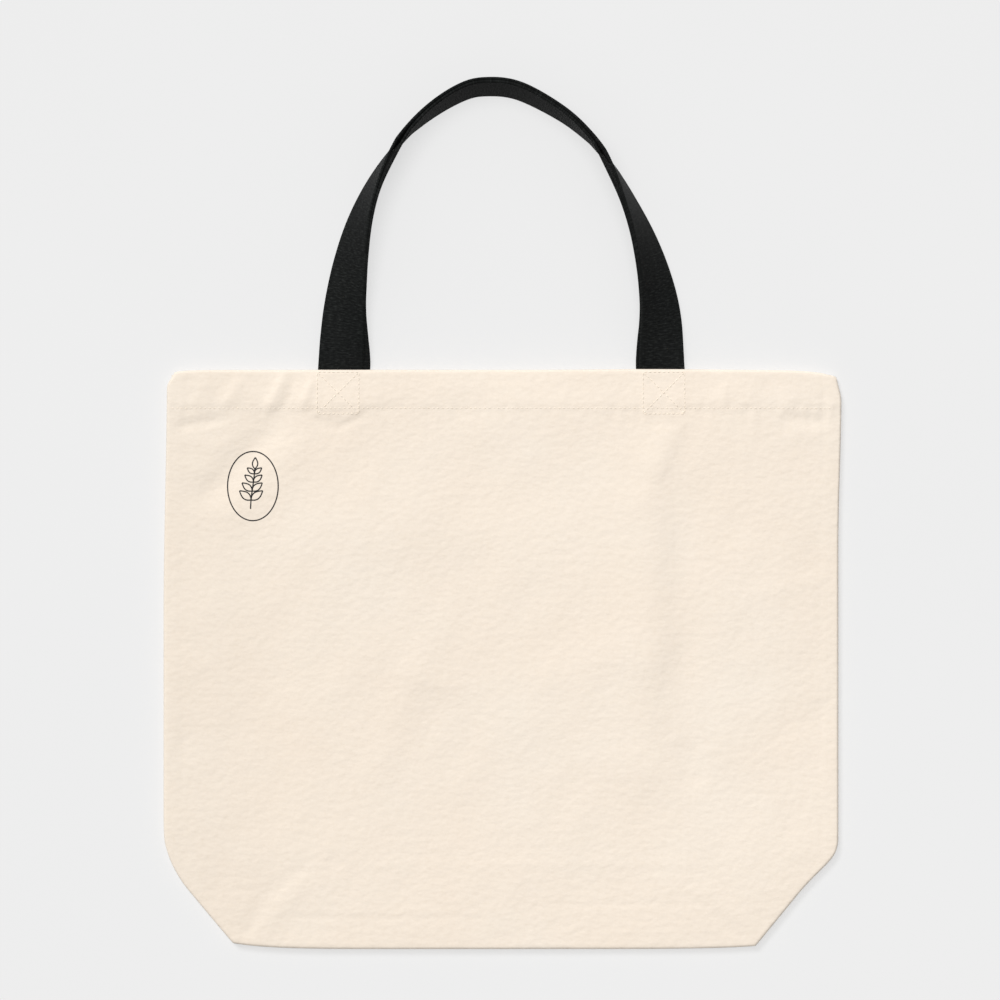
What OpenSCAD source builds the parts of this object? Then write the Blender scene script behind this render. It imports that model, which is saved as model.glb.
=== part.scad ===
/* [Bag body] */
// Width of the bag laid flat
bag_w = 480; // [400:5:560]
// Height of the bag, from the base fold to the mouth
bag_h = 411; // [320:1:480]
// Thickness of the empty bag laid flat
bag_t = 15; // [15:1:24]
// Thickness of the canvas
canvas_t = 1; // [0.6:0.1:1]
// Depth of the boxed base, front to back, when the bag is opened
base_depth = 120; // [80:5:140]
// Sideways run of each folded bottom corner
corner_run = 54; // [45:1:70]
// Height of each folded bottom corner
corner_rise = 67; // [55:1:80]
// Width of the seam allowances inside the bag
seam_w = 10; // [6:1:12]

/* [Mouth hem] */
// Depth of the hem around the mouth
hem_h = 28; // [24:1:40]

/* [Handles] */
// Width of the webbing
strap_w = 32; // [24:1:36]
// Thickness of the webbing
strap_t = 2; // [1.5:0.1:2]
// Distance from the bag's centre line to the middle of each front strap end
strap_x = 115.5; // [95:0.5:118]
// How much nearer the centre line the back strap ends are sewn
back_inset = 5; // [0:0.5:8]
// Distance from the mouth to the top of the arch's inner edge
handle_rise = 197.5; // [150:0.5:300]
// Clear space between the two arches, one inside the other
arch_gap = 3; // [2.6:0.1:4]
// Angle the webbing has turned onto its edge at the top of the arch
arch_twist = 90; // [80:1:90]

/* [Printed mark] */
// Width of the printed oval
mark_w = 37; // [20:1:80]
// Height of the printed oval
mark_h = 50; // [20:1:90]
// Width of the printed line
mark_line = 0.9; // [0.6:0.1:2]

/* [Hidden] */

canvas_colour = [0.94, 0.89, 0.82];
webbing_colour = [0.11, 0.12, 0.12];
thread_colour = [0.86, 0.80, 0.71];
ink_colour = [0.05, 0.05, 0.05];

// The bag lies on its back panel: X runs across it, Y from the base to the mouth, Z up.
half_w = bag_w / 2;
half_h = bag_h / 2;
base_half_w = half_w - corner_run;
fold_y = base_depth / 2 - half_h;

// Layers of the front half, from the outside in; the back half is the same upside down.
panel_z = bag_t - canvas_t;
turn_z = panel_z - canvas_t;
flap_z = turn_z - canvas_t;
hem_t = 2 * canvas_t;
front_strap_z = panel_z - hem_t - strap_t;
back_strap_z = canvas_t + hem_t;
back_strap_x = strap_x - back_inset;

side_seam_t = 3;
corner_seam_t = 3;
mouth_bend = 4;
side_bend = 16;
base_bend = 9;
bend_steps = 8;
seam_gap = 0.2;

thread_w = 0.7;
thread_t = 0.3;
stitch_inset = 1;
mouth_gap = 0.5;
strap_end_y = half_h - mouth_gap - strap_w / 2;
box_inset = 1.25;
box_stitch_w = strap_w - 2 * box_inset;

function unit(v) = v / norm(v);

// A corner at b rounded over the length d of both its sides.
function bend(a, b, c, d) =
    let (p = b + d * unit(a - b), q = b + d * unit(c - b))
    [for (i = [0 : bend_steps])
        let (t = i / bend_steps)
        (1 - t) * (1 - t) * p + 2 * t * (1 - t) * b + t * t * q];

function cat(lists) = [for (l = lists) for (p = l) p];

corners = [
    [half_w, half_h], [-half_w, half_h], [-half_w, corner_rise - half_h],
    [-base_half_w, -half_h], [base_half_w, -half_h], [half_w, corner_rise - half_h]
];
bends = [mouth_bend, mouth_bend, side_bend, base_bend, base_bend, side_bend];
outline = cat([for (i = [0 : 5])
    bend(corners[(i + 5) % 6], corners[i], corners[(i + 1) % 6], bends[i])]);

module slab(z, t) {
    translate([0, 0, z]) linear_extrude(t) polygon(outline);
}

// The layer of canvas turned in at the left bottom corner, up to the base's own fold.
module corner_flap(z, t) {
    translate([0, 0, z]) linear_extrude(t) intersection() {
        polygon(outline);
        polygon([corners[3], corners[2], [-base_half_w, fold_y]]);
    }
}

// The fold along the left diagonal edge, which joins the panel to its corner flap.
module corner_fold(z, t) {
    edge = unit(corners[2] - corners[3]);
    inward = canvas_t * [edge.y, -edge.x];
    translate([0, 0, z]) linear_extrude(t) intersection() {
        polygon(outline);
        polygon([corners[3], corners[2], corners[2] + inward, corners[3] + inward]);
    }
}

// One panel: its face, with a corner folded in at each end of the base.
module panel(face_z, flap_face_z) {
    slab(face_z, canvas_t);
    for (side = [0, 1]) mirror([side, 0, 0]) {
        corner_flap(flap_face_z, canvas_t);
        corner_fold(min(face_z, flap_face_z), 3 * canvas_t);
    }
}

module front_panel() {
    color(canvas_colour) panel(panel_z, flap_z);
}

module back_panel() {
    color(canvas_colour) panel(0, 2 * canvas_t);
}

// Section of the folded base: two legs joined by a round fold whose far side is at tip_y.
module base_section(low, high, tip_y) {
    r = (high - low) / 2;
    translate([-half_h, low]) square([half_h + tip_y - r, high - low]);
    translate([tip_y - r, low + r]) circle(r = r, $fn = 32);
}

module base_panel() {
    low = 2 * canvas_t;
    high = flap_z + canvas_t;
    color(canvas_colour)
        translate([-base_half_w, 0, 0])
            rotate([90, 0, 90])
                linear_extrude(2 * base_half_w) difference() {
                    base_section(low, high, fold_y);
                    base_section(low + canvas_t, high - canvas_t, fold_y - canvas_t);
                }
}

module hem(z) {
    w = bag_w - 2 * side_seam_t;
    color(canvas_colour)
        translate([-w / 2, half_h - hem_h, z]) cube([w, hem_h, hem_t]);
}

// Left side seam: down the side, then in along the turned corner.
module side_seam() {
    // The tail runs along the upper edge of the corner flap, as far as the corner seam.
    tail_start = corners[2];
    flap_end = [-base_half_w, fold_y];
    tail_end = flap_end + (seam_w / 2 + seam_gap) / corner_run * (tail_start - flap_end);
    color(canvas_colour) {
        intersection() {
            translate([-half_w, tail_start.y, canvas_t])
                cube([side_seam_t, bag_h - corner_rise, bag_t - 2 * canvas_t]);
            slab(0, bag_t);
        }
        translate([0, 0, 2 * canvas_t]) linear_extrude(bag_t - 4 * canvas_t) intersection() {
            polygon(outline);
            polygon([
                tail_start, tail_end,
                tail_end + [0, side_seam_t], tail_start + [0, side_seam_t]
            ]);
        }
    }
}

// Left corner seam: the allowance that joins the end of the base to the turned corners.
module corner_seam() {
    start_y = seam_w + 2 - half_h;
    strip_h = fold_y + seam_gap - start_y;
    color(canvas_colour)
        translate([-base_half_w - seam_w / 2, 0, 0]) {
            translate([0, start_y, turn_z]) cube([seam_w, strip_h, canvas_t]);
            translate([0, start_y, canvas_t]) cube([seam_w, strip_h, canvas_t]);
            translate([0, fold_y + seam_gap, canvas_t])
                cube([seam_w, corner_seam_t, bag_t - 2 * canvas_t]);
        }
}

module base_seam(z) {
    w = 2 * base_half_w - seam_w;
    color(canvas_colour) translate([-w / 2, -half_h, z]) cube([w, seam_w, canvas_t]);
}

// The square end of the webbing, sewn on inside the hem.
module strap_end(x, z) {
    color(webbing_colour) translate([0, 0, z]) linear_extrude(strap_t)
        translate([x, strap_end_y]) square(strap_w, center = true);
}

// A straight row of thread across the bag, at the lower edge of the hem. Between its three
// stretches the box stitches of the two strap ends, at x and -x, take its place.
module hem_row(x, z) {
    w = bag_w - 4 * side_seam_t;
    translate([0, 0, z]) linear_extrude(thread_t) difference() {
        translate([-w / 2, half_h - hem_h + stitch_inset - thread_w]) square([w, thread_w]);
        for (end_x = [x, -x]) translate([end_x, strap_end_y]) square(strap_w, center = true);
    }
}

module front_hem_stitch() {
    color(thread_colour) {
        hem_row(strap_x, bag_t);
        hem_row(strap_x, panel_z - hem_t - thread_t);
    }
}

module back_hem_stitch() {
    color(thread_colour) hem_row(back_strap_x, canvas_t + hem_t);
}

// A square of thread with its two diagonals, over a strap end.
module box_stitch(x, z) {
    diagonal = sqrt(2) * box_stitch_w - thread_w;
    translate([x, strap_end_y, z]) linear_extrude(thread_t) {
        difference() {
            square(box_stitch_w, center = true);
            square(box_stitch_w - 2 * thread_w, center = true);
        }
        for (a = [45, -45]) rotate(a) square([diagonal, thread_w], center = true);
    }
}

module front_box_stitch(x) {
    color(thread_colour) {
        box_stitch(x, bag_t);
        box_stitch(x, front_strap_z - thread_t);
    }
}

module back_box_stitch(x) {
    color(thread_colour) box_stitch(x, back_strap_z + strap_t);
}

// Route of the outer edge of the handles, from the left end to the right end: the distance to
// the right of the bag's centre line and the distance beyond the mouth, chosen by hand for a
// spread of route_spread and a rise of route_rise.
handle_route = [
    [-131.5, 0], [-130, 24], [-126, 48], [-119, 80], [-108, 110], [-94, 137],
    [-76, 160], [-52, 180], [-26, 193], [-4, 197.5], [20, 195], [44, 182], [64, 165],
    [80, 144], [95, 120], [110, 93], [121, 64], [128, 34], [131.5, 0]
];
route_spread = 263;
route_rise = 197.5;
route_scale = [(2 * strap_x + strap_w) / route_spread, handle_rise / route_rise];
route_last = len(handle_route) - 1;
steps_per_span = 4;
ring_count = route_last * steps_per_span;

// A point at t from 0 to 1 on the smooth curve between the middle two of four points.
function smooth_point(a, b, c, d, t) =
    0.5 * (2 * b + (c - a) * t + (2 * a - 5 * b + 4 * c - d) * t * t
        + (3 * b - a - 3 * c + d) * t * t * t);

function route_point(k) =
    let (p = handle_route[min(max(k, 0), route_last)])
    [p.x * route_scale.x, p.y * route_scale.y];

function route_at(i) =
    let (k = min(floor(i / steps_per_span), route_last - 1), t = i / steps_per_span - k)
    smooth_point(route_point(k - 1), route_point(k), route_point(k + 1), route_point(k + 2), t);

route = [for (i = [0 : ring_count]) route_at(i)];

// At both ends the webbing goes square into the hem, in line with its sewn ends.
headings = [for (i = [0 : ring_count])
    i == 0 ? [0, 1] : i == ring_count ? [0, -1] : unit(route[i + 1] - route[i - 1])];

// Sum of the steps of the route up to ring i.
function run_to(i) = i == 0 ? 0 : norm(route[i] - route[i - 1]) + run_to(i - 1);

runs = [for (i = [0 : ring_count]) run_to(i)];

function ease(x) = let (t = min(max(x, 0), 1)) t * t * (3 - 2 * t);

// Beyond the mouth the webbing comes down to the surface and turns onto its edge.
landing = 60;
function end_distance(i) = min(runs[i], runs[ring_count] - runs[i]);
function twist(i) = arch_twist * sin(90 * end_distance(i) / (runs[ring_count] / 2));
function drop(i) = 1 - ease(end_distance(i) / landing);

// Four corners of the webbing at ring i. At the bag's mouth the handle is face_z above the
// surface and inset towards the centre line. Where both handles lie on the surface, it is
// stand_off away from the route, on top of the other handle or outside it.
function webbing_ring(i, face_z, inset, stand_off) =
    let (
        out = [-headings[i].y, headings[i].x, 0],
        up = [0, 0, 1],
        across = strap_w * (sin(twist(i)) * up - cos(twist(i)) * out),
        through = cos(twist(i)) * up + sin(twist(i)) * out,
        at_mouth = face_z * up - inset * out,
        edge = [route[i].x, half_h + mouth_gap + route[i].y, 0]
            + drop(i) * at_mouth + stand_off * (1 - drop(i)) * through
    )
    [edge, edge + across, edge + across + strap_t * through, edge + strap_t * through];

// A closed strip through all the rings.
module webbing(face_z, inset, stand_off) {
    rings = [for (i = [0 : ring_count]) webbing_ring(i, face_z, inset, stand_off)];
    sides = [for (i = [0 : ring_count - 1]) for (j = [0 : 3])
        let (a = 4 * i + j, b = 4 * i + (j + 1) % 4)
        each [[a, b, b + 4], [a, b + 4, a + 4]]];
    last = 4 * ring_count;
    ends = [[3, 2, 1], [3, 1, 0], [last, last + 1, last + 2], [last, last + 2, last + 3]];
    color(webbing_colour) polyhedron(cat(rings), concat(sides, ends));
}

module front_handle() {
    webbing(front_strap_z, 0, strap_t + arch_gap);
}

module back_handle() {
    webbing(back_strap_z, back_inset, 0);
}

// A small printed sprig inside an oval line, near the left of the front panel.
mark_x = -176;
mark_y = 123;
mark_t = 0.15;
leaf_pairs = 3;
module leaf(length) {
    intersection() {
        translate([length / 2, length / 2]) circle(r = length, $fn = 48);
        translate([length / 2, -length / 2]) circle(r = length, $fn = 48);
    }
}

module oval(w, h) {
    translate([0, (h - w) / 2]) circle(d = w, $fn = 64);
    translate([0, (w - h) / 2]) circle(d = w, $fn = 64);
    square([w, h - w], center = true);
}

module printed_mark() {
    stem_h = 0.62 * mark_h;
    leaf_l = 0.2 * mark_w;
    color(ink_colour) translate([mark_x, mark_y, bag_t]) linear_extrude(mark_t) {
        difference() {
            oval(mark_w, mark_h);
            oval(mark_w - 2 * mark_line, mark_h - 2 * mark_line);
        }
        square([mark_line, stem_h], center = true);
        for (i = [0 : leaf_pairs - 1], side = [0, 1])
            translate([0, stem_h * (i / leaf_pairs - 0.3)])
                mirror([side, 0]) rotate(40) leaf(leaf_l);
    }
}

front_panel();
back_panel();
base_panel();
hem(panel_z - hem_t);  // front_hem
hem(canvas_t);  // back_hem
side_seam();  // left_side_seam
mirror([1, 0, 0]) side_seam();  // right_side_seam
corner_seam();  // left_corner_seam
mirror([1, 0, 0]) corner_seam();  // right_corner_seam
base_seam(turn_z);  // front_base_seam
base_seam(canvas_t);  // back_base_seam
strap_end(-strap_x, front_strap_z);  // front_left_strap_end
strap_end(strap_x, front_strap_z);  // front_right_strap_end
strap_end(-back_strap_x, back_strap_z);  // back_left_strap_end
strap_end(back_strap_x, back_strap_z);  // back_right_strap_end
front_hem_stitch();
back_hem_stitch();
front_box_stitch(-strap_x);  // front_left_box_stitch
front_box_stitch(strap_x);  // front_right_box_stitch
back_box_stitch(-back_strap_x);  // back_left_box_stitch
back_box_stitch(back_strap_x);  // back_right_box_stitch
front_handle();
back_handle();
printed_mark();
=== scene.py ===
import math

import bpy
import numpy as np
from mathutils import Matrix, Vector


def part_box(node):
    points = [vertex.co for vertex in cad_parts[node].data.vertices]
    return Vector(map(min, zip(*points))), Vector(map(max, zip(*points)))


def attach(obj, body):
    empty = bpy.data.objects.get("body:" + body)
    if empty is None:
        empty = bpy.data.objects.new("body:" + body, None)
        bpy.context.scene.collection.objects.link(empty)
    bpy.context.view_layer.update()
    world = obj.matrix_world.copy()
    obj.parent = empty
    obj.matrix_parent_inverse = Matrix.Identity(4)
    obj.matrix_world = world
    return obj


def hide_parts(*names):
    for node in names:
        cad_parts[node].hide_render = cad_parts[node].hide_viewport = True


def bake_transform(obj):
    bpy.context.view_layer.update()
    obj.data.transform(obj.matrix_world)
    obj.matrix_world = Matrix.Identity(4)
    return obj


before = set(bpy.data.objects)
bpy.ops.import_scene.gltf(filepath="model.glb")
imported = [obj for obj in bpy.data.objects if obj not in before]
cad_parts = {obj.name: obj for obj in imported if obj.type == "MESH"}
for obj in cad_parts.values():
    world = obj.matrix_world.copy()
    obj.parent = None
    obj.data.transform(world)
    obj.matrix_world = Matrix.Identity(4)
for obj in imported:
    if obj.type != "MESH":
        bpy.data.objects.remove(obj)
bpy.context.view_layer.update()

# The shapes below are worked out in millimetres in the CAD frame: X across the bag,
# Y from the base fold to the mouth, Z up. MM turns them into the scene's metres.
MM = 0.001


def node_box(name):
    """Lowest and highest corner of a CAD node, in millimetres."""
    low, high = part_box(name)
    return np.array(low) / MM, np.array(high) / MM


# -------- sizes from the frame
PANEL_LOW, PANEL_HIGH = node_box("front_panel")
HALF_W = PANEL_HIGH[0]
MOUTH_Y = PANEL_HIGH[1]
BASE_Y = PANEL_LOW[1]
BASE_HALF_W = node_box("base_panel")[1][0]
INNER_FOLD_Y = node_box("base_panel")[1][1]
HEM_Y = node_box("front_hem")[0][1]
SEAM_W = np.ptp([node_box("front_base_seam")[0][1], node_box("front_base_seam")[1][1]])
FRONT_STRAP_LOW, FRONT_STRAP_HIGH = node_box("front_right_strap_end")
BACK_STRAP_LOW, BACK_STRAP_HIGH = node_box("back_right_strap_end")
STRAP_W = FRONT_STRAP_HIGH[0] - FRONT_STRAP_LOW[0]
FRONT_STRAP_Z = FRONT_STRAP_LOW[2]
BACK_STRAP_Z = BACK_STRAP_LOW[2]
FRONT_STRAP_X = (FRONT_STRAP_HIGH[0] + FRONT_STRAP_LOW[0]) / 2
BACK_STRAP_X = (BACK_STRAP_HIGH[0] + BACK_STRAP_LOW[0]) / 2
STRAP_END_Y = FRONT_STRAP_LOW[1]

# -------- sizes of the soft shape
CANVAS_T = 0.9
HEM_T = 2.0
# the rise of the diagonal corners, and how softly they meet the sides
CORNER_RISE = 67.0
CORNER_SOFTNESS = 4.0
# the radius of the cloth's turn at the side seams, and at the folds and the mouth
SIDE_RADIUS = 2.0
FOLD_RADIUS = 1.9
# Z of the side seams, and of the front panel at its edges, in its middle and at the mouth
SEAM_LEVEL = 3.5
EDGE_T = 7.4
BODY_T = 10.1
MOUTH_T = 13.9
# how much lower the right edge is than the middle, and how far in the edges' slope reaches
EDGE_TILT = 0.6
EDGE_REACH = 85.0
# the power of the mouth's arch across the bag, the dip of its middle and the fall of the hem
MOUTH_ARCH = 3.3
MOUTH_SAG = 0.9
MOUTH_FALL = 0.9
# gap between a panel and its hem
LAYER_GAP = 0.06
# gap between the bag and the surface that it lies on
FLOOR_GAP = 0.05
# the hem's stitch row, up from the hem's lower edge
HEM_ROW = 0.6


def ease(x):
    """A smooth step from 0 to 1."""
    t = np.clip(x, 0, 1)
    return t * t * (3 - 2 * t)


def unit(v):
    return v / np.linalg.norm(v, axis=-1, keepdims=True)


def soft_waves(x, y, wavelength, seed, count=14, stretch=1.0):
    """Smooth random height between about -1 and 1. stretch draws the waves out along X."""
    rng = np.random.default_rng(seed)
    total = 0.0
    for _ in range(count):
        angle = rng.uniform(0, math.pi)
        k = 2 * math.pi / (wavelength * rng.uniform(0.7, 1.5))
        phase = rng.uniform(0, 2 * math.pi)
        total = total + np.cos(k * (np.cos(angle) * x / stretch + np.sin(angle) * y) + phase)
    return total / math.sqrt(count * 1.6)


def crease(x, y, start, end, width, height, lean=0.0):
    """A ridge (or a valley, with a negative height) from start to end that fades at both ends.
    lean makes the side to the right of the way steeper, up to 1."""
    start, end = np.array(start, float), np.array(end, float)
    way = end - start
    length = np.linalg.norm(way)
    way /= length
    along = ((x - start[0]) * way[0] + (y - start[1]) * way[1]) / length
    aside = (x - start[0]) * way[1] - (y - start[1]) * way[0]
    reach = width * (1 - lean * np.tanh(aside / width) * 0.6)
    fade = ease((along + 0.12) / 0.35) * ease((1.12 - along) / 0.35)
    return height * fade * np.exp(-((aside / reach) ** 2))


def bump_at(x, y, centre, size, height):
    """A soft round swelling."""
    return height * np.exp(-(((x - centre[0]) / size[0]) ** 2) - ((y - centre[1]) / size[1]) ** 2)


# -------- outline of the bag
def side_x(y, side):
    """X of the bag's edge at height y, on the left (-1) or the right (1)."""
    slope = (HALF_W - BASE_HALF_W) / CORNER_RISE
    slant = BASE_HALF_W + (y - BASE_Y) * slope
    # the lesser of the two, blended over k; the right corner is the sharper one
    k = CORNER_SOFTNESS * (1.0 if side < 0 else 0.5)
    x = -k * np.logaddexp(-HALF_W / k, -slant / k)
    # small bows of the real sides, and the corners of the mouth, which are drawn in
    if side < 0:
        x = x - 2.4 * ease((y - 30) / 180) + 4.4 * ease((BASE_Y + 70 - y) / 28)
        x = x - 5.0 * ease((y - MOUTH_Y + 12) / 12)
    else:
        x = x + 2.2 * ease((y - 80) / 110) - 5.0 * ease((BASE_Y + 78 - y) / 40)
        x = x - 3.2 * ease((y - MOUTH_Y + 20) / 20)
    return side * x


def base_lift(u):
    """How far the base edge rises towards its corners, with u from -1 to 1 across it."""
    return (3.0 - 1.0 * u) * np.abs(u) ** 7 - 0.6


def mouth_dip(u):
    """The mouth edge is almost straight and drops at its corners."""
    drop = 1.2 * np.clip(-u, 0, 1) ** 30 + 4.4 * np.clip(u, 0, 1) ** 17
    return 0.5 * np.exp(-(((u - 0.45) / 0.2) ** 2)) - drop


def edge_distance(x, y):
    """Distance in from the nearest side, diagonal or base edge."""
    left, right = side_x(y, -1), side_x(y, 1)
    slant_share = 0.93
    side = np.minimum(x - left, right - x) * slant_share
    return np.minimum(np.maximum(side, 0), np.maximum(y - BASE_Y, 0))


# -------- height of the two panels
# Ridges and valleys in the front panel: start, end, width, height and lean.
PUCKERS = [
    # short puckers in the hem, left of the left handle
    ((-184, 199), (-197, 180), 4.5, 0.75, 0.5),
    ((-154, 201), (-166, 176), 4.2, 1.05, 0.5),
    ((-146, 203), (-154, 176), 3.8, -0.50, 0.0),
    ((-133, 200), (-142, 178), 3.6, 0.95, 0.5),
    ((-208, 201), (-218, 178), 5.5, 0.45, 0.4),
    # pulls under the left handle
    ((-134, 170), (-112, 165), 4.0, -0.35, 0.0),
    ((-116, 163), (-94, 176), 3.4, -0.55, 0.0),
    ((-112, 169), (-97, 178), 3.0, 0.35, 0.0),
    ((-92, 176), (-60, 183), 4.0, -0.30, 0.0),
    ((-153, 174), (-217, 108), 10.0, -1.45, 0.0),
    ((-134, 160), (-196, 96), 14.0, 0.70, 0.0),
    ((-140, 170), (-196, 158), 5.0, 0.20, 0.3),
    # pull under the hem's left end
    ((-237, 164), (-194, 171), 3.8, -0.85, 0.0),
    ((-236, 155), (-190, 150), 5.0, 0.30, 0.0),
    ((-238, 140), (-190, 128), 7.0, 0.25, 0.3),
    # fold that hangs from the right handle
    ((128, 174), (106, 128), 11.0, 0.90, -0.7),
    ((104, 140), (105, -10), 20.0, 1.30, -0.65),
    ((105, 20), (92, -100), 22.0, 1.10, -0.6),
    ((100, -60), (150, -138), 16.0, 0.70, -0.3),
    ((132, 130), (130, -70), 14.0, -0.50, 0.0),
    ((104, 168), (126, 166), 3.4, -0.35, 0.0),
    # puckers to the right of the right handle
    ((165, 200), (150, 178), 6.0, 0.30, 0.3),
    ((196, 202), (184, 180), 7.0, -0.30, 0.0),
    ((234, 168), (200, 171), 3.8, -0.65, 0.0),
    ((232, 160), (196, 156), 5.0, 0.25, 0.0),
    # broad soft folds lower down
    ((-170, 88), (60, 92), 24.0, 0.45, 0.0),
    ((128, -58), (140, -92), 11.0, -0.60, 0.0),
    ((-50, 12), (-96, -96), 15.0, 0.60, 0.4),
    ((-20, 150), (-30, 40), 24.0, -0.35, 0.0),
    ((190, 120), (206, -60), 22.0, 0.35, 0.0),
    ((-200, 60), (-188, -60), 20.0, 0.30, 0.0),
    ((-78, -8), (-30, -22), 8.0, 0.35, 0.4),
    ((20, -20), (96, 8), 14.0, 0.25, 0.0),
    # creases that run in from the base corners
    ((-186, -203), (-160, -160), 5.5, -0.42, 0.4),
    ((-166, -168), (-134, -143), 5.5, -0.42, 0.3),
    ((-178, -204), (-140, -160), 7.0, 0.35, 0.0),
    ((-124, -146), (-112, -143), 4.5, -0.40, 0.0),
    ((182, -205), (138, -170), 5.0, -0.35, -0.4),
    ((180, -197), (136, -160), 7.0, 0.35, 0.0),
    # print of the base's inner fold and of its seam allowance
    ((-110, -147), (160, -145), 3.0, 0.16, 0.0),
    ((-162, -183), (-8, -184), 1.7, -0.26, 0.0),
    ((-150, -180), (-20, -181), 2.6, 0.14, 0.0),
    ((20, -176), (166, -172), 2.4, -0.16, 0.0),
    # short creases near the edges
    ((234, 60), (176, 44), 7.0, 0.25, 0.0),
    ((238, -30), (190, -60), 8.0, -0.25, 0.0),
    ((-240, 20), (-206, 4), 7.0, -0.20, 0.0),
]


def hem_pucker(x, y, seed):
    """Gathers along the hem's stitch line, which fade on both sides of it."""
    away = np.abs(y - HEM_Y)
    wave = soft_waves(x, y * 0.35, 11.0, seed, count=10)
    slow = 0.55 + 0.45 * soft_waves(x, y * 0.1, 90.0, seed + 1, count=6)
    return 0.34 * wave * slow * np.exp(-((away / 9.0) ** 1.4))


def front_height(x, y):
    """Z of the front panel's outer face, before it turns over its edges."""
    d = edge_distance(x, y)
    edge = EDGE_T - EDGE_TILT * x / HALF_W
    body = edge + (BODY_T - edge) * (1 - np.exp(-d / EDGE_REACH))
    across = np.clip(np.abs(x) / HALF_W, 0, 1)
    mouth = edge + (MOUTH_T - edge) * (1 - across ** MOUTH_ARCH)
    mouth = mouth - MOUTH_SAG * np.exp(-((x / 60.0) ** 2))
    z = body + (mouth - body) * ease((y + 140) / 250)
    z = z - MOUTH_FALL * ease((y - HEM_Y) / (MOUTH_Y - HEM_Y))
    # the hem is thicker, and its stitches pull the cloth down
    z = z + 0.36 * ease((y - HEM_Y + 1.8) / 2.8)
    z = z - 0.30 * np.exp(-(((y - HEM_Y - HEM_ROW) / 1.1) ** 2))
    z = z + hem_pucker(x, y, 31)
    # webbing shows through the hem as a faint raised square, edged by its stitches
    for side in (-1, 1):
        inside = STRAP_W / 2 - np.abs(x - side * FRONT_STRAP_X)
        z = z + 0.22 * ease(inside / 3.0 + 0.5) * ease((y - STRAP_END_Y + 1.5) / 3.0)
    # the side seams' allowances
    z = z + 0.18 * ease((SEAM_W + 1.5 - d) / 2.5) * ease((y - BASE_Y - CORNER_RISE) / 20)
    calm = ease(d / 14.0)
    for start, end, width, height, lean in PUCKERS:
        z = z + calm * crease(x, y, start, end, width, height, lean)
    # the hem swells a little in its middle, and round the sewn squares
    z = z + bump_at(x, y, (-30, 195), (26, 9), 0.35)
    z = z + bump_at(x, y, (-FRONT_STRAP_X, 182), (24, 11), 0.60)
    z = z + bump_at(x, y, (FRONT_STRAP_X + 4, 184), (20, 9), 0.35)
    # the cloth's own waves and unevenness
    z = z + calm * 0.30 * soft_waves(x, y, 120.0, 5)
    z = z + calm * 0.11 * soft_waves(x, y, 36.0, 6, count=20)
    z = z + 0.036 * soft_waves(x, y, 9.0, 7, count=26, stretch=1.4)
    return z


def back_height(x, y):
    """Z of the back panel's outer face, which lies on the surface."""
    d = edge_distance(x, y)
    rise = 0.9 * np.exp(-d / 6.0)
    waves = 1 + np.clip(soft_waves(x, y, 60.0, 12), -1, 1)
    return FLOOR_GAP + rise + 0.12 * waves * ease(d / 20)


# -------- mesh helpers
def make_object(name, verts, faces, material):
    """A mesh object from millimetre points. faces is a list of arrays of triangles or quads."""
    mesh = bpy.data.meshes.new(name)
    loops = np.concatenate([f.ravel() for f in faces])
    sizes = np.concatenate([np.full(len(f), f.shape[1]) for f in faces])
    mesh.vertices.add(len(verts))
    mesh.vertices.foreach_set("co", (np.asarray(verts) * MM).astype(np.float32).ravel())
    mesh.loops.add(len(loops))
    mesh.loops.foreach_set("vertex_index", loops.astype(np.int32))
    mesh.polygons.add(len(sizes))
    starts = np.concatenate([[0], np.cumsum(sizes)[:-1]])
    mesh.polygons.foreach_set("loop_start", starts.astype(np.int32))
    mesh.polygons.foreach_set("use_smooth", np.full(len(sizes), True))
    mesh.update(calc_edges=True)
    mesh.validate()
    obj = bpy.data.objects.new(name, mesh)
    bpy.context.scene.collection.objects.link(obj)
    mesh.materials.append(material)
    return obj


def grid_faces(rows, columns, flip=False):
    """Quads between neighbouring rows of a grid of points."""
    r, c = np.meshgrid(np.arange(rows - 1), np.arange(columns - 1), indexing="ij")
    a = r * columns + c
    quads = np.stack([a, a + 1, a + columns + 1, a + columns], -1).reshape(-1, 4)
    return quads[:, ::-1] if flip else quads


def ring_faces(inner, outer, flip=False):
    """Quads between two closed rings of point numbers."""
    quads = np.stack([inner, outer, np.roll(outer, -1), np.roll(inner, -1)], -1)
    return quads[:, ::-1] if flip else quads


def point_normals(verts, quads):
    """Area-weighted normals of the points of a quad mesh."""
    a, b, c, d = (verts[quads[:, i]] for i in range(4))
    face = np.cross(c - a, d - b)
    total = np.zeros_like(verts)
    for i in range(4):
        np.add.at(total, quads[:, i], face)
    return unit(total + 1e-12)


def thicken(verts, quads, rim, thickness):
    """A closed sheet: the given outer face, a copy moved inwards and a strip along the rim."""
    inner = verts - thickness * point_normals(verts, quads)
    n = len(verts)
    return np.concatenate([verts, inner]), [quads, quads[:, ::-1] + n, ring_faces(rim, rim + n)]


def sheet_between(low_face, high_face):
    """A closed sheet from two grids of points of the same shape, the low one and the high one."""
    rows, columns = low_face.shape[:2]
    n = rows * columns
    verts = np.concatenate([high_face.reshape(-1, 3), low_face.reshape(-1, 3)])
    top = grid_faces(rows, columns)
    index = np.arange(n).reshape(rows, columns)
    rim = np.concatenate([index[0, :-1], index[:-1, -1], index[-1, :0:-1], index[:0:-1, 0]])
    return verts, [top, top[:, ::-1] + n, ring_faces(rim, rim + n)]


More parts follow.
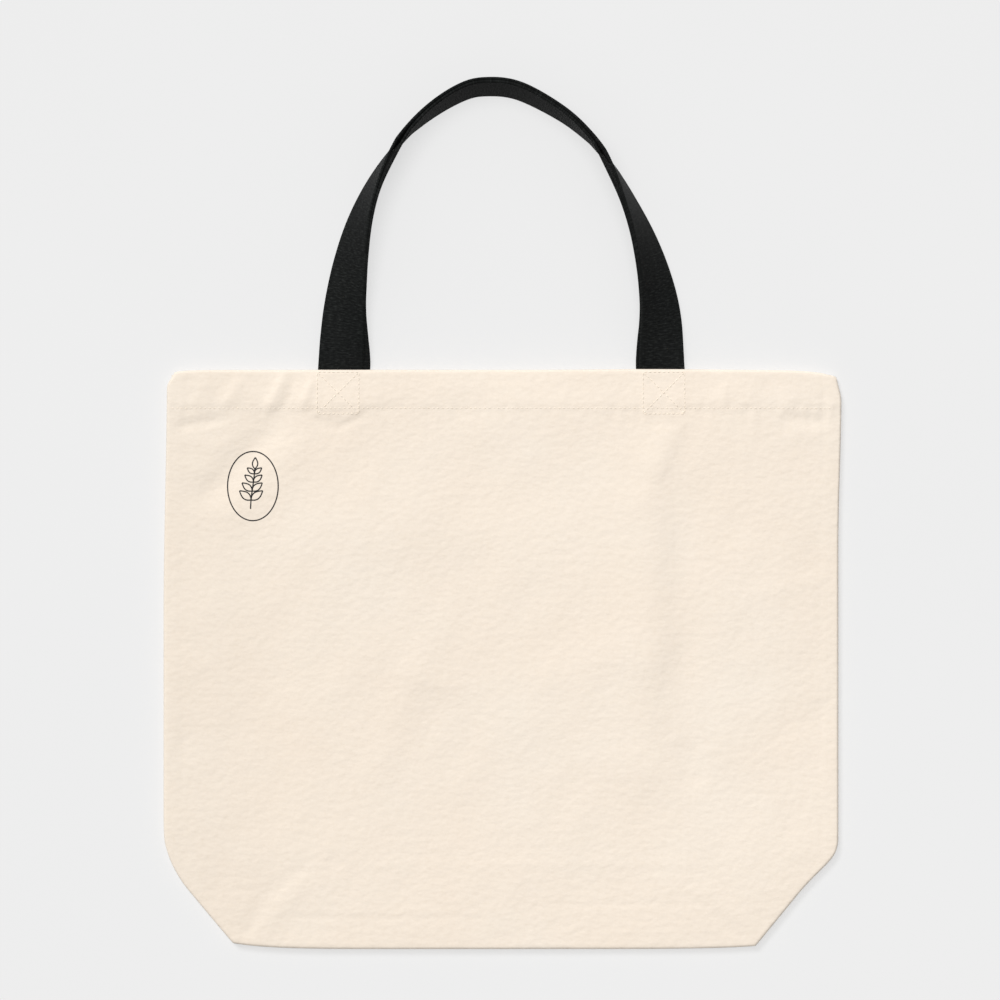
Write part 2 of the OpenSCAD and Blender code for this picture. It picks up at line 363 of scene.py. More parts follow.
# -------- materials
def new_material(name):
    """A material with only a Principled shader, and that shader."""
    material = bpy.data.materials.new(name)
    material.use_nodes = True
    nodes = material.node_tree.nodes
    nodes.clear()
    output = nodes.new("ShaderNodeOutputMaterial")
    shader = nodes.new("ShaderNodeBsdfPrincipled")
    material.node_tree.links.new(shader.outputs["BSDF"], output.inputs["Surface"])
    return material, shader


class Nodes:
    """Short names for the node trees below."""

    def __init__(self, material):
        self.tree = material.node_tree

    def add(self, kind, **values):
        node = self.tree.nodes.new("ShaderNode" + kind)
        for key, value in values.items():
            if key in node.inputs:
                node.inputs[key].default_value = value
            else:
                setattr(node, key, value)
        return node

    def link(self, source, target):
        self.tree.links.new(source, target)

    def math(self, operation, a, b=0.0):
        node = self.add("Math", operation=operation)
        for slot, value in enumerate((a, b)):
            if isinstance(value, (int, float)):
                node.inputs[slot].default_value = value
            else:
                self.link(value, node.inputs[slot])
        return node.outputs[0]

    def noise(self, vector, scale, detail=2.0, roughness=0.5):
        node = self.add("TexNoise", Scale=scale, Detail=detail, Roughness=roughness)
        self.link(vector, node.inputs["Vector"])
        return node.outputs["Fac"]

    def stretched(self, vector, scale, rotation=(0, 0, 0)):
        node = self.add("Mapping")
        node.inputs["Scale"].default_value = scale
        node.inputs["Rotation"].default_value = rotation
        self.link(vector, node.inputs["Vector"])
        return node.outputs["Vector"]

    def ramp(self, value, stops):
        node = self.add("ValToRGB")
        ramp = node.color_ramp
        while len(ramp.elements) < len(stops):
            ramp.elements.new(0.5)
        for element, (position, colour) in zip(ramp.elements, stops):
            element.position = position
            element.color = (*colour, 1)
        self.link(value, node.inputs["Fac"])
        return node.outputs["Color"]

    def mix(self, factor, a, b, blend="MIX"):
        node = self.add("Mix", data_type="RGBA", blend_type=blend)
        for value, slot in ((factor, 0), (a, 6), (b, 7)):
            if isinstance(value, (int, float)):
                node.inputs[slot].default_value = value
            elif isinstance(value, tuple):
                node.inputs[slot].default_value = (*value, 1)
            else:
                self.link(value, node.inputs[slot])
        return node.outputs[2]


CANVAS_COLOUR = (0.868, 0.771, 0.662)
CANVAS_WARM = (0.866, 0.762, 0.649)
CANVAS_PALE = (0.870, 0.781, 0.677)
FLECK_COLOUR = (0.45, 0.33, 0.22)
# pitch of the canvas's threads, of the webbing's long yarns and, in millimetres, of its ribs
THREAD_PITCH = 0.85 * MM
YARN_PITCH = 1.1 * MM
RIB_PITCH = 1.7


def canvas_material():
    """Natural cotton canvas: a wobbling plain weave with slubs, rumples and a few seed flecks."""
    material, shader = new_material("canvas")
    n = Nodes(material)
    where = n.add("TexCoord").outputs["Object"]
    split = n.add("SeparateXYZ")
    n.link(where, split.inputs[0])
    turn = 2 * math.pi / THREAD_PITCH
    wobble = n.noise(where, 60.0)

    def yarns(axis):
        place = n.math("MULTIPLY", split.outputs[axis], turn)
        return n.math("SINE", n.math("ADD", place, n.math("MULTIPLY", wobble, 3.0)))

    warp, weft = yarns("X"), yarns("Y")
    weave = n.math("MULTIPLY", warp, weft)
    ribs = n.math("MULTIPLY", weft, 0.55)
    woven = n.math("ADD", weave, ribs)

    slubs = n.noise(n.stretched(where, (280.0, 540.0, 540.0)), 1.0, 3.0, 0.6)
    warp_slubs = n.noise(n.stretched(where, (800.0, 300.0, 800.0)), 1.0, 3.0, 0.6)
    rumple = n.noise(n.stretched(where, (165.0, 235.0, 235.0)), 1.0, 2.0, 0.4)
    fibre = n.noise(where, 1800.0, 4.0, 0.7)

    blotch = n.ramp(n.noise(where, 9.0, 3.0, 0.55), [
        (0.30, CANVAS_WARM), (0.52, CANVAS_COLOUR), (0.72, CANVAS_PALE)])
    streak = n.ramp(slubs, [
        (0.30, (0.978, 0.972, 0.963)), (0.52, (1, 1, 1)), (0.72, (1.01, 1.012, 1.015))])
    warp_streak = n.ramp(warp_slubs, [(0.28, (0.985, 0.98, 0.97)), (0.46, (1, 1, 1))])
    toned = n.mix(1.0, n.mix(1.0, blotch, streak, "MULTIPLY"), warp_streak, "MULTIPLY")
    # painted shade: the canvas colour is darkened towards its left side, in place of the shading that
    # falls there
    width = n.math("ADD", n.math("MULTIPLY", split.outputs["X"], 2.0), 0.5)
    painted_left_shade = n.ramp(width, [
        (0.02, (0.938, 0.936, 0.930)), (0.10, (0.948, 0.944, 0.938)), (0.20, (0.978, 0.975, 0.970)),
        (0.45, (0.988, 0.986, 0.984)), (0.70, (0.993, 0.990, 0.987)), (0.97, (1.0, 1.0, 1.0))])
    toned = n.mix(1.0, toned, painted_left_shade, "MULTIPLY")
    fleck_field = n.add("TexVoronoi", Scale=55.0, Randomness=1.0)
    n.link(where, fleck_field.inputs["Vector"])
    rare = n.math("GREATER_THAN", n.noise(where, 14.0, 1.0), 0.58)
    spot = n.math("LESS_THAN", fleck_field.outputs["Distance"], 0.026)
    colour = n.mix(n.math("MULTIPLY", n.math("MULTIPLY", rare, spot), 0.45), toned, FLECK_COLOUR)
    n.link(colour, shader.inputs["Base Color"])

    height = n.math("ADD", n.math("MULTIPLY", woven, 0.09), n.math("MULTIPLY", slubs, 0.22))
    height = n.math("ADD", height, n.math("MULTIPLY", warp_slubs, 0.18))
    height = n.math("ADD", height, n.math("MULTIPLY", fibre, 0.12))
    height = n.math("ADD", height, n.math("MULTIPLY", rumple, 2.9))
    bump = n.add("Bump", Strength=0.75, Distance=0.00018)
    n.link(height, bump.inputs["Height"])
    n.link(bump.outputs["Normal"], shader.inputs["Normal"])
    rough = n.ramp(fibre, [(0.3, (0.82, 0.82, 0.82)), (0.7, (0.95, 0.95, 0.95))])
    n.link(rough, shader.inputs["Roughness"])
    shader.inputs["Specular IOR Level"].default_value = 0.18
    shader.inputs["Sheen Weight"].default_value = 0.18
    shader.inputs["Sheen Roughness"].default_value = 0.5
    return material


def webbing_material():
    """Black cotton webbing: yarns along it, ribs across it, and paler fibres in short streaks."""
    material, shader = new_material("webbing")
    n = Nodes(material)
    strip = n.add("UVMap", uv_map="strip").outputs["UV"]
    where = n.add("TexCoord").outputs["Object"]
    split = n.add("SeparateXYZ")
    n.link(strip, split.inputs[0])
    yarn = n.math("SINE", n.math("MULTIPLY", split.outputs["X"], 2 * math.pi / YARN_PITCH))
    pick = n.math("SINE", n.math("MULTIPLY", split.outputs["Y"], 2 * math.pi / (RIB_PITCH * MM)))
    fibre = n.noise(n.stretched(strip, (260.0, 900.0, 1.0)), 1.0, 4.0, 0.65)
    lint = n.noise(where, 900.0, 5.0, 0.75)
    cloudy = n.noise(where, 22.0, 2.0)
    base = n.ramp(cloudy, [(0.35, (0.0086, 0.0094, 0.0092)), (0.7, (0.0112, 0.0119, 0.0116))])
    pale = n.ramp(fibre, [
        (0.36, (0.60, 0.60, 0.60)), (0.52, (1.0, 1.0, 1.0)), (0.68, (2.3, 2.3, 2.26))])
    dusty = n.ramp(lint, [(0.66, (0.0, 0.0, 0.0)), (0.82, (0.004, 0.004, 0.0038))])
    colour = n.mix(1.0, n.mix(1.0, base, pale, "MULTIPLY"), dusty, "ADD")
    n.link(colour, shader.inputs["Base Color"])
    height = n.math("ADD", n.math("MULTIPLY", yarn, 0.35), n.math("MULTIPLY", pick, 0.3))
    height = n.math("ADD", height, n.math("MULTIPLY", fibre, 0.9))
    bump = n.add("Bump", Strength=0.6, Distance=0.00016)
    n.link(height, bump.inputs["Height"])
    n.link(bump.outputs["Normal"], shader.inputs["Normal"])
    shader.inputs["Roughness"].default_value = 0.75
    shader.inputs["Specular IOR Level"].default_value = 0.03
    shader.inputs["Sheen Weight"].default_value = 0.04
    shader.inputs["Sheen Roughness"].default_value = 0.4
    return material


def thread_material():
    """Cream sewing thread with a slight twist."""
    material, shader = new_material("thread")
    n = Nodes(material)
    where = n.add("TexCoord").outputs["Object"]
    tone = n.ramp(n.noise(where, 700.0, 3.0), [
        (0.35, (0.80, 0.70, 0.58)), (0.65, (0.90, 0.82, 0.71))])
    n.link(tone, shader.inputs["Base Color"])
    twist = n.noise(n.stretched(where, (2600.0, 1400.0, 1400.0), (0, 0, 0.6)), 1.0, 2.0)
    bump = n.add("Bump", Strength=0.5, Distance=0.0001)
    n.link(twist, bump.inputs["Height"])
    n.link(bump.outputs["Normal"], shader.inputs["Normal"])
    shader.inputs["Roughness"].default_value = 0.7
    shader.inputs["Sheen Weight"].default_value = 0.2
    return material


def ink_material():
    """Black screen-print ink, a little worn."""
    material, shader = new_material("ink")
    n = Nodes(material)
    where = n.add("TexCoord").outputs["Object"]
    worn = n.noise(n.stretched(where, (1500.0, 1500.0, 1500.0)), 1.0, 4.0, 0.7)
    tone = n.ramp(worn, [
        (0.30, (0.006, 0.006, 0.006)), (0.62, (0.012, 0.012, 0.012)), (0.80, (0.07, 0.06, 0.05))])
    n.link(tone, shader.inputs["Base Color"])
    bump = n.add("Bump", Strength=0.4, Distance=0.00008)
    n.link(worn, bump.inputs["Height"])
    n.link(bump.outputs["Normal"], shader.inputs["Normal"])
    shader.inputs["Roughness"].default_value = 0.75
    return material


CANVAS = canvas_material()
WEBBING = webbing_material()
THREAD = thread_material()
INK = ink_material()


# -------- canvas panels
def panel_grid(columns, rows):
    """Points across the bag's outline, drawn in by the radius of the edge they turn over."""
    u, v = np.meshgrid(np.linspace(-1, 1, columns), np.linspace(0, 1, rows))
    y = BASE_Y + FOLD_RADIUS + v * (MOUTH_Y - BASE_Y - 2 * FOLD_RADIUS)
    folded = ease((BASE_Y + CORNER_RISE + 6 - y) / 24)
    # a fold's radius as seen along X, where the edge runs diagonally
    slant_radius = FOLD_RADIUS * 1.28
    inset = SIDE_RADIUS + (slant_radius - SIDE_RADIUS) * folded
    left, right = side_x(y, -1) + inset, side_x(y, 1) - inset
    x = left + (right - left) * (u + 1) / 2
    y = y + base_lift(u) * (1 - v) ** 6 + mouth_dip(u) * v ** 12
    return x, y


def boundary(rows, columns):
    """Point numbers round the grid: down the left, along the base, up the right, along the mouth."""
    index = np.arange(rows * columns).reshape(rows, columns)
    return np.concatenate([index[:0:-1, 0], index[0, :-1], index[:-1, -1], index[-1, :0:-1]])


ARC_STEPS = 6


def edge_profiles(drop):
    """How far out and how far down the cloth goes, step by step, as it turns over an edge: at a
    side seam, where it goes down to the seam and turns in, and at a fold, where it turns under.
    drop is the height of the face above the side seam at each point of the boundary."""
    side, fold = [], []
    still = 0 * drop
    for i in range(1, ARC_STEPS + 1):
        a = math.pi / 2 * i / ARC_STEPS
        side.append((SIDE_RADIUS * math.sin(a) + still, (drop - 0.45) * (1 - math.cos(a))))
        fold.append((FOLD_RADIUS * math.sin(2 * a) + still, FOLD_RADIUS * (1 - math.cos(2 * a)) + still))
    for inward in (0.8, 3.0, 6.0, SEAM_W):
        side.append((SIDE_RADIUS - inward + still, drop - 0.1))
        fold.append((-inward + still, 2 * FOLD_RADIUS + still))
    return side, fold


def panel(name, columns, rows, height, up):
    """One panel with its edges turned over. up is 1 for the front panel and -1 for the back."""
    x, y = panel_grid(columns, rows)
    z = height(x, y)
    face = np.stack([x, y, z], -1).reshape(-1, 3)
    ring = boundary(rows, columns)
    edge = face[ring]
    way = unit(np.roll(edge, -1, 0) - np.roll(edge, 1, 0))
    out = np.stack([way[:, 1], -way[:, 0], 0 * way[:, 0]], -1)
    for _ in range(3):
        out = unit(np.roll(out, 1, 0) + 2 * out + np.roll(out, -1, 0))
    # 1 at the side seams, and 0 at the diagonals, the base and the mouth, which are folds
    on_side = ease((edge[:, 1] - BASE_Y - CORNER_RISE + 10) / 20)
    on_side *= ease((np.abs(edge[:, 0]) - HALF_W + 12) / 6)
    on_side *= ease((MOUTH_Y - 1 - edge[:, 1]) / 3)
    drop = np.abs(edge[:, 2] - SEAM_LEVEL)
    side, fold = edge_profiles(drop)
    verts, quads = [face], [grid_faces(rows, columns, flip=up < 0)]
    inner, count = ring, len(face)
    for (side_out, side_drop), (fold_out, fold_drop) in zip(side, fold):
        reach = side_out * on_side + fold_out * (1 - on_side)
        down = side_drop * on_side + fold_drop * (1 - on_side)
        points = edge + out * reach[:, None]
        points[:, 2] = edge[:, 2] - up * down
        outer = np.arange(count, count + len(ring))
        verts.append(points)
        quads.append(ring_faces(inner, outer, flip=up < 0))
        inner, count = outer, count + len(ring)
    verts, quads = np.concatenate(verts), np.concatenate(quads)
    rim = inner if up < 0 else inner[::-1]
    verts, faces = thicken(verts, quads, rim, CANVAS_T)
    return make_object(name, verts, faces, CANVAS)


front_panel = panel("front_panel_cloth", 230, 198, front_height, 1)
back_panel = panel("back_panel_cloth", 130, 112, back_height, -1)


# -------- hems and folded base
def hem(name, face_height, up):
    """The turned-in cloth inside the mouth, two layers thick, under its panel."""
    across = np.linspace(-HALF_W + 6, HALF_W - 6, 240)
    x, y = np.meshgrid(across, np.linspace(HEM_Y - 0.8, MOUTH_Y - 3.6, 14))
    # its lower edge is slightly uneven
    fray = 0.35 * soft_waves(x, y, 14.0, 44 + up)
    y = y + fray * (y < HEM_Y + 1)
    outer = face_height(x, y) - up * (CANVAS_T + LAYER_GAP)
    rounded = 0.5 * np.exp(-((y - HEM_Y + 0.8) / 0.7))
    inner = outer - up * (HEM_T - 0.15 - rounded)
    high, low = (outer, inner) if up > 0 else (inner, outer)
    verts, faces = sheet_between(np.stack([x, y, low], -1), np.stack([x, y, high], -1))
    return make_object(name, verts, faces, CANVAS)


front_hem = hem("front_hem_cloth", front_height, 1)
back_hem = hem("back_hem_cloth", back_height, -1)


def folded_base():
    """The base, folded in half inside the bag: one leg under the front panel's turned edge, a
    round inner fold, and the other leg over the back panel's."""
    legs = 46
    thickness = 0.85
    low_z, high_z = 2.25, EDGE_T - FOLD_RADIUS - 0.75
    radius = (high_z - low_z) / 2
    start_y = BASE_Y + SEAM_W + 2
    along = np.linspace(start_y, INNER_FOLD_Y - radius, legs)
    arc = np.linspace(math.pi / 2, -math.pi / 2, 14)[1:-1]
    profile_y = np.concatenate([along, INNER_FOLD_Y - radius + radius * np.cos(arc), along[::-1]])
    profile_z = np.concatenate([
        high_z + 0 * along, low_z + radius + radius * np.sin(arc), low_z + 0 * along])
    normal_y = np.concatenate([0 * along, np.cos(arc), 0 * along])
    normal_z = np.concatenate([1 + 0 * along, np.sin(arc), -1 + 0 * along])
    x = np.linspace(-BASE_HALF_W + 1, BASE_HALF_W - 1, 150)[None, :]
    sway = 0.5 * soft_waves(x, profile_y[:, None], 70.0, 21)
    y, z = profile_y[:, None] + sway * 0.6, profile_z[:, None] + 0.25 * sway
    outer = np.stack(np.broadcast_arrays(x, y, z), -1)
    normal = np.stack(np.broadcast_arrays(0 * x, normal_y[:, None], normal_z[:, None]), -1)
    inner = outer - thickness * normal
    verts, faces = sheet_between(outer, inner)
    return make_object("base_cloth", verts, faces, CANVAS)


base_panel = folded_base()


# -------- seams inside the bag
FRONT_SEAM_Z = EDGE_T - FOLD_RADIUS + 0.85
BACK_SEAM_Z = 1.5


def allowance(name, points, across, thickness, seed):
    """A seam allowance: a narrow double strip of cloth with a slightly uneven cut edge."""
    points, across = np.array(points, float), np.array(across, float)
    steps = np.linspace(0, 1, 9)[None, :, None]
    cut = 1 + 0.06 * soft_waves(np.arange(len(points)) * 2.0, np.zeros(len(points)), 16.0, seed)
    body = points[:, None, :] + across[:, None, :] * steps * cut[:, None, None]
    lens = thickness / 2 * (0.55 + 0.45 * np.sin(math.pi * steps[..., 0]))
    low, high = body.copy(), body.copy()
    low[..., 2] -= lens
    high[..., 2] += lens
    verts, faces = sheet_between(low, high)
    return make_object(name, verts, faces, CANVAS)


def side_seam(side):
    """The allowance of one side seam, from the turned corner up to the mouth."""
    y = np.linspace(BASE_Y + CORNER_RISE + 8, MOUTH_Y - 4, 170)
    x = side_x(y, side) - side * (SIDE_RADIUS + 6.5)
    z = SEAM_LEVEL + 0.15 * np.sin(y / 17.0)
    across = np.stack([-side * SEAM_W * 0.7 + 0 * y, 0 * y, 0 * y], -1)
    name = ("left" if side < 0 else "right") + "_side_seam_allowance"
    return allowance(name, np.stack([x, y, z], -1), across, 1.7, 60 + side)


def corner_seam(side):
    """Joins the end of the folded base to the turned corner, inside the front half."""
    y = np.linspace(BASE_Y + SEAM_W + 3, INNER_FOLD_Y - 1, 40)
    x = side * (BASE_HALF_W - 0.5) + 0 * y
    z = FRONT_SEAM_Z + 0 * y
    # it stays clear of the turned edge outside it
    room = np.abs(side_x(y, side)) - BASE_HALF_W - 3.5
    across = np.stack([side * np.clip(room, 1.0, SEAM_W * 0.55), 0 * y, 0 * y], -1)
    name = ("left" if side < 0 else "right") + "_corner_seam_allowance"
    return allowance(name, np.stack([x, y, z], -1), across, 0.8, 70 + side)


def base_seam(name, z, seed):
    """The allowance of one of the two seams along the base fold."""
    x = np.linspace(-BASE_HALF_W + 6, BASE_HALF_W - 6, 160)
    y = BASE_Y + SEAM_W + 3 + 0 * x
    across = np.stack([0 * x, SEAM_W * 0.8 + 0 * x, 0 * x], -1)
    return allowance(name, np.stack([x, y, z + 0 * x], -1), across, 0.7, seed)


side_seams = [side_seam(-1), side_seam(1)]
corner_seams = [corner_seam(-1), corner_seam(1)]
base_seams = [
    base_seam("front_base_seam_allowance", FRONT_SEAM_Z, 81),
    base_seam("back_base_seam_allowance", BACK_SEAM_Z, 82),
]


# -------- webbing handles
# The route of the handles' outer edge, within a few millimetres of the CAD's: the distance to
# the right of the bag's centre line and the distance beyond the mouth.
HANDLE_ROUTE = [
    (-130, 0), (-128, 24), (-124, 48), (-116, 79), (-105, 108), (-90, 135),
    (-72, 158), (-50, 179), (-28, 193), (-11, 197.3), (12, 194.5), (41, 179), (61, 162),
    (78, 142), (93, 119), (108, 92), (120, 63), (127.5, 34), (130.5, 0),
]
ROUTE_START = 0.5
WEBBING_T = 2.3
# how far the webbing is turned up at the top of the arch, with 90 degrees as upright
ARCH_TWIST = math.radians(102.5)
# where the most turned place is, right of the middle, as a share of the loop
TWIST_LEAN = 0.010
# powers of the twist's rise from the left end and from the right one
TWIST_RISE = (1.15, 1.02)
# more twist left of the top, and less right of it
ARCH_SKEW = math.radians(2.2)
# how much of the twist's range the parting of the two straps covers
SPREAD_WIDTH = 0.08
# how far from its ends the webbing runs square to the mouth, and comes down to the floor
SQUARE_RUN = 14.0
LANDING = 60.0
RIB_STEP = 0.425
# in the arch: from the back strap's inner face to the front one's, and from the route to the
# back one's, and then the least gap between the webbing and the floor
ARCH_SPACING = 2.0
ARCH_GAP = 0.3
WEBBING_FLOOR_GAP = 0.15
# the front strap's ends lie this much lower than the CAD's, to stay clear of the hem
FRONT_STRAP_DROP = 2.9


def smooth_route(step):
    """The route as points about step apart, on a curve through the given points."""
    points = np.array(HANDLE_ROUTE, float)
    padded = np.concatenate([points[:1], points, points[-1:]])
    curve = []
    for a, b, c, d in zip(padded, padded[1:], padded[2:], padded[3:]):
        for t in np.linspace(0, 1, 60, endpoint=False):
            curve.append(0.5 * (2 * b + (c - a) * t + (2 * a - 5 * b + 4 * c - d) * t ** 2
                                + (3 * b - a - 3 * c + d) * t ** 3))
    curve = np.array(curve + [points[-1]])
    run = np.concatenate([[0], np.cumsum(np.linalg.norm(np.diff(curve, axis=0), axis=1))])
    even = np.linspace(0, run[-1], int(run[-1] / step) + 1)
    return np.stack([np.interp(even, run, curve[:, i]) for i in (0, 1)], -1), even


def webbing_frames(mouth_z, insets, stand_off, spread, spread_at):
    """For each step along one handle: the outer edge's place, the way across the webbing and
    the way through it, from one sewn end round the loop to the other. mouth_z is the height of
    its ends, insets how far they lie inside the route, stand_off how far the arch stands out
    from the route, and spread an extra turn where the twist's share is near spread_at."""
    route, run = smooth_route(RIB_STEP)
    heading = unit(np.gradient(route, axis=0))
    for _ in range(40):
        heading[1:-1] = unit(heading[:-2] + 2 * heading[1:-1] + heading[2:])
    # the webbing leaves the hem square to the mouth
    from_end = np.minimum(run, run[-1] - run)
    straight = np.stack([0 * run, np.where(run < run[-1] / 2, 1.0, -1.0)], -1)
    heading = unit(heading + (straight - heading) * (1 - ease(from_end / SQUARE_RUN))[:, None])
    part = run / run[-1]
    turned = np.sin(math.pi * (part - TWIST_LEAN * np.sin(math.pi * part)))
    rise = np.where(part < 0.5, *TWIST_RISE)
    twist = ARCH_TWIST * turned ** rise + ARCH_SKEW * np.sin(2 * math.pi * part) * turned ** 4
    # the two straps part a little where they pass upright
    twist += spread * np.exp(-(((turned - spread_at) / SPREAD_WIDTH) ** 2))
    drop = 1 - ease(from_end / LANDING)
    zero = np.zeros(len(run))
    out = np.stack([-heading[:, 1], heading[:, 0], zero], -1)
    up = np.array([0.0, 0.0, 1.0])
    sine, cosine = np.sin(twist)[:, None], np.cos(twist)[:, None]
    across = sine * up - cosine * out
    through = cosine * up + sine * out
    place = np.stack([route[:, 0], MOUTH_Y + ROUTE_START + route[:, 1], zero], -1)
    inset = np.where(part < 0.5, insets[0], insets[1])[:, None]
    place += drop[:, None] * (mouth_z * up - inset * out)
    place += ((1 - drop) * stand_off)[:, None] * through
    # past upright, the webbing leans about its own middle and its lower corner stays on the floor
    lean = np.minimum(cosine, 0)
    place += lean * STRAP_W / 2 * out
    lowest = np.minimum(place[:, 2], (place + WEBBING_T * through)[:, 2])
    place[:, 2] += np.maximum(WEBBING_FLOOR_GAP - lowest, 0)
    # the sewn ends run straight into the hem
    ends = np.arange(STRAP_END_Y, MOUTH_Y + ROUTE_START, RIB_STEP)
    sewn = [np.stack([place[end, 0] + 0 * ends, ends, mouth_z + 0 * ends], -1) for end in (0, -1)]
    place = np.concatenate([sewn[0], place, sewn[1][::-1]])

    def with_ends(v):
        return np.concatenate([np.repeat(v[:1], len(ends), 0), v, np.repeat(v[-1:], len(ends), 0)])

    return place, with_ends(across), with_ends(through)


def webbing_section():
    """Outline of the webbing as (across, through, rib): flat with round, slightly raised edges."""
    half = WEBBING_T / 2
    edge = 1.25
    a = np.linspace(1.4, STRAP_W - 1.4, 20)
    selvedge = 0.12 * (np.exp(-((a - 1.6) / 1.3) ** 2) + np.exp(-((STRAP_W - 1.6 - a) / 1.3) ** 2))
    top = [(s, half + e - 0.2, 1.0) for s, e in zip(a, selvedge)]
    bottom = [(s, -half - e + 0.2, -1.0) for s, e in zip(a[::-1], selvedge)]
    turns = np.radians([60, 30, 0, -30, -60])
    right = [(STRAP_W - edge + edge * math.cos(t), half * math.sin(t), 0.0) for t in turns]
    left = [(edge - edge * math.cos(t), -half * math.sin(t), 0.0) for t in turns]
    return np.array(top + right + bottom + left)


def webbing_strap(name, mouth_z, insets, stand_off, spread, spread_at, rib_turn):
    """One handle with its sewn ends, as a strip with ribs across it that start at rib_turn. Its
    map "strip" holds the distances across and along it, for the weave."""
    place, across, through = webbing_frames(mouth_z, insets, stand_off, spread, spread_at)
    section = webbing_section()
    rings, count = len(place), len(section)
    steps = np.arange(rings) * RIB_STEP
    rib = 0.08 * np.sin(2 * math.pi * steps / RIB_PITCH + rib_turn)
    rib += 0.04 * soft_waves(steps, 0 * steps, 9.0, 91)
    a = section[None, :, 0]
    b = WEBBING_T / 2 + section[None, :, 1] + section[None, :, 2] * rib[:, None]
    verts = place[:, None] + a[..., None] * across[:, None] + b[..., None] * through[:, None]
    index = np.arange(rings * count).reshape(rings, count)
    ahead = np.roll(index, -1, axis=1)
    quads = np.stack([index[:-1], index[1:], ahead[1:], ahead[:-1]], -1).reshape(-1, 4)
    caps = [index[:1, :], index[-1:, ::-1]]
    obj = make_object(name, verts.reshape(-1, 3), [quads[:, ::-1], caps[0], caps[1]], WEBBING)
    uv = obj.data.uv_layers.new(name="strip")
    points = np.zeros(len(obj.data.loops), np.int32)
    obj.data.loops.foreach_get("vertex_index", points)
    strip = np.stack([
        np.tile(section[:, 0], rings)[points] * MM, np.repeat(steps, count)[points] * MM], -1)
    uv.data.foreach_set("uv", strip.astype(np.float32).ravel())
    return obj


inset = FRONT_STRAP_X - BACK_STRAP_X
front_z = FRONT_STRAP_Z - FRONT_STRAP_DROP
back_handle = webbing_strap(
    "back_handle_webbing", BACK_STRAP_Z, (inset, 0.5 * inset), ARCH_GAP,
    math.radians(-3), 0.83, 0.0)
front_handle = webbing_strap(
    "front_handle_webbing", front_z, (0.0, 0.0), ARCH_SPACING + ARCH_GAP,
    math.radians(2.5), 0.89, math.pi)


# -------- stitches
STITCH_PITCH = 3.3
STITCH_GAP = 0.7
THREAD_R = 0.29
# a stitch's arch out of the cloth, on the outside and on the inside
ARCH_OUT = 0.25
ARCH_IN = -0.2


def surface_point(height, x, y, lift):
    """Points lift above the surface height, over x and y."""
    return np.stack([x, y, height(x, y) + lift], -1)


def stitches(name, routes, height, lift, arch=ARCH_OUT):
    """Rows of separate thread stitches along straight routes, each with its ends in the cloth."""
    sides, rings = 8, 7
    turn = np.linspace(0, 2 * math.pi, sides, endpoint=False)
    up = np.array([0, 0, 1.0])
    # the end caps, as quads between the points of a ring
    near_cap = np.array([[0, 3, 2, 1], [0, 5, 4, 3], [0, 7, 6, 5]])
    far_cap = np.array([[0, 1, 2, 3], [0, 3, 4, 5], [0, 5, 6, 7]])
    verts, quads, count = [], [], 0
    for start, end in routes:
        start, end = np.array(start, float), np.array(end, float)
        length = np.linalg.norm(end - start)
        total = max(1, int(round(length / STITCH_PITCH)))
        way = (end - start) / length
        for i in range(total):
            s = np.linspace(0, 1, rings) * (STITCH_PITCH - STITCH_GAP)
            s = s + STITCH_GAP / 2 + i * length / total
            flat = start + s[:, None] * way
            rise = np.sin(np.linspace(0, math.pi, rings))
            middle = surface_point(height, flat[:, 0], flat[:, 1], lift + arch * (rise - 0.75))
            radius = THREAD_R * (0.35 + 0.65 * rise ** 0.6)
            side = np.array([-way[1], way[0], 0.0])
            ring = np.cos(turn)[None, :, None] * side + np.sin(turn)[None, :, None] * up
            points = middle[:, None] + radius[:, None, None] * ring
            verts.append(points.reshape(-1, 3))
            index = count + np.arange(rings * sides).reshape(rings, sides)
            ahead = np.roll(index, -1, axis=1)
            quads.append(np.stack([index[:-1], ahead[:-1], ahead[1:], index[1:]], -1).reshape(-1, 4))
            quads += [index[0][near_cap], index[-1][far_cap]]
            count += rings * sides
    return make_object(name, np.concatenate(verts), [np.concatenate(quads)], THREAD)


def joined(name, parts):
    """One object from several, in the order given."""
    meshes = [p.data for p in parts]
    verts = np.concatenate([np.array([v.co for v in m.vertices]) for m in meshes]) / MM
    faces, first = [], 0
    for m in meshes:
        faces.append(np.array([p.vertices[:] for p in m.polygons]) + first)
        first += len(m.vertices)
    material = meshes[0].materials[0]
    for p in parts:
        bpy.data.objects.remove(p)
    return make_object(name, verts, faces, material)


def hem_row(side_margin):
    """The route of a hem's stitch row, which starts side_margin in from the sides."""
    y = HEM_Y + HEM_ROW
    return [((-HALF_W + side_margin, y), (HALF_W - side_margin, y))]


BOX_LOW, BOX_HIGH = node_box("front_right_box_stitch")


def box_routes(x):
    """Sewing lines of one strap end: a square and its two diagonals."""
    w, low, high = (BOX_HIGH[0] - BOX_LOW[0]) / 2, BOX_LOW[1], BOX_HIGH[1]
    corners = [(x - w, low), (x + w, low), (x + w, high), (x - w, high)]
    routes = [(corners[i], corners[(i + 1) % 4]) for i in range(4)]
    return routes + [(corners[0], corners[2]), (corners[3], corners[1])]


def front_inside(x, y):
    """Z of the front hem's inner face."""
    return front_height(x, y) - CANVAS_T - HEM_T


def back_inside(x, y):
    """Z of the back hem's inner face."""
    return back_height(x, y) + CANVAS_T + HEM_T


def level(z):
    return lambda x, y: z + 0 * x


